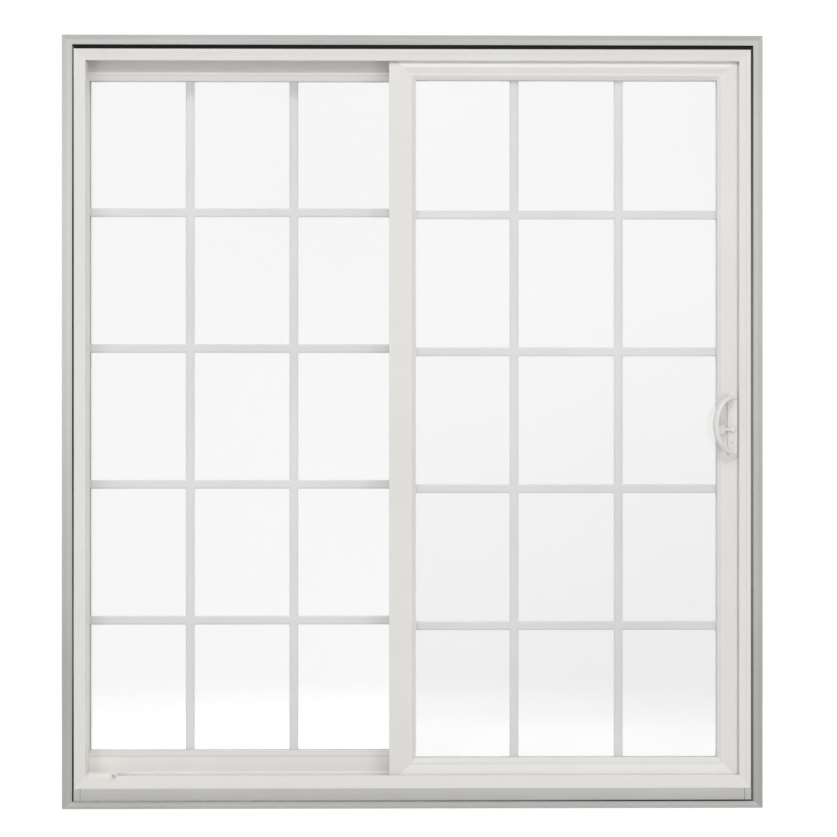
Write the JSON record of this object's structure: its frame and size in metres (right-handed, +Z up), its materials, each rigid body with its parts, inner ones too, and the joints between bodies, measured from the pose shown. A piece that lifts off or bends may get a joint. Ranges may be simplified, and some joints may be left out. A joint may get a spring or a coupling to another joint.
{
  "type": "sliding patio door",
  "caption": "White sliding patio door with a fixed and a sliding glazed panel, bars between the panes, a flanged frame, a bow pull and a thumb latch.",
  "frame": {"origin": "middle of the sill flange's flat back, which bears on the wall round the opening", "axes": "+Y out of the flange's back, from the room to the garden; +Z up; +X to the right seen from the room"},
  "size_m": [1.891, 0.1648, 2.0865],
  "materials": {
    "white_vinyl": "satin",
    "grey_sill": "satin",
    "grey_flange": "satin",
    "black_gasket": "matt",
    "clear_glass": "polished",
    "spacer_metal": "satin",
    "grid_white": "satin",
    "steel": "brushed",
    "roller_nylon": "matt",
    "handle_white": "satin"
  },
  "bodies": {
    "frame": {"head_member": "white_vinyl", "left_jamb": "white_vinyl", "right_jamb": "white_vinyl", "sill_member": "white_vinyl", "sill_nose": "grey_sill", "sill_end_caps": "grey_sill", "roller_rail": "steel", "panel_stop": "white_vinyl", "strike_keeper": "steel", "head_flange": "grey_flange", "left_flange": "grey_flange", "right_flange": "grey_flange", "sill_flange": "grey_flange", "head_gasket": "black_gasket", "left_gasket": "black_gasket", "right_gasket": "black_gasket", "sill_gasket": "black_gasket", "fixed_jamb_stile": "white_vinyl", "fixed_interlock_stile": "white_vinyl", "fixed_top_rail": "white_vinyl", "fixed_bottom_rail": "white_vinyl", "fixed_room_pane": "clear_glass", "fixed_garden_pane": "clear_glass", "fixed_spacer": "spacer_metal", "fixed_grid": "grid_white", "fixed_glazing_bead": "white_vinyl"},
    "sliding_panel": {"meeting_stile": "white_vinyl", "lock_stile": "white_vinyl", "sliding_top_rail": "white_vinyl", "sliding_bottom_rail": "white_vinyl", "sliding_room_pane": "clear_glass", "sliding_garden_pane": "clear_glass", "sliding_spacer": "spacer_metal", "sliding_grid": "grid_white", "sliding_glazing_bead": "white_vinyl", "roller_carriages": "steel", "roller_wheels": "roller_nylon", "mortise_lock": "steel", "room_handle_plate": "handle_white", "garden_handle_plate": "handle_white", "room_pull": "handle_white", "garden_pull": "handle_white"},
    "latch": {"thumb_latch": "handle_white"}
  },
  "joints": [
    {"name": "door_slide", "type": "slide", "parent": "frame", "child": "sliding_panel", "axis": [-1, 0, 0], "range_m": [0, 0.725]},
    {"name": "latch_turn", "type": "hinge", "parent": "sliding_panel", "child": "latch", "pos_m": [0.863, -0.009, 1.0115], "axis": [0, 1, 0], "range_deg": [0, 60]}
  ]
}
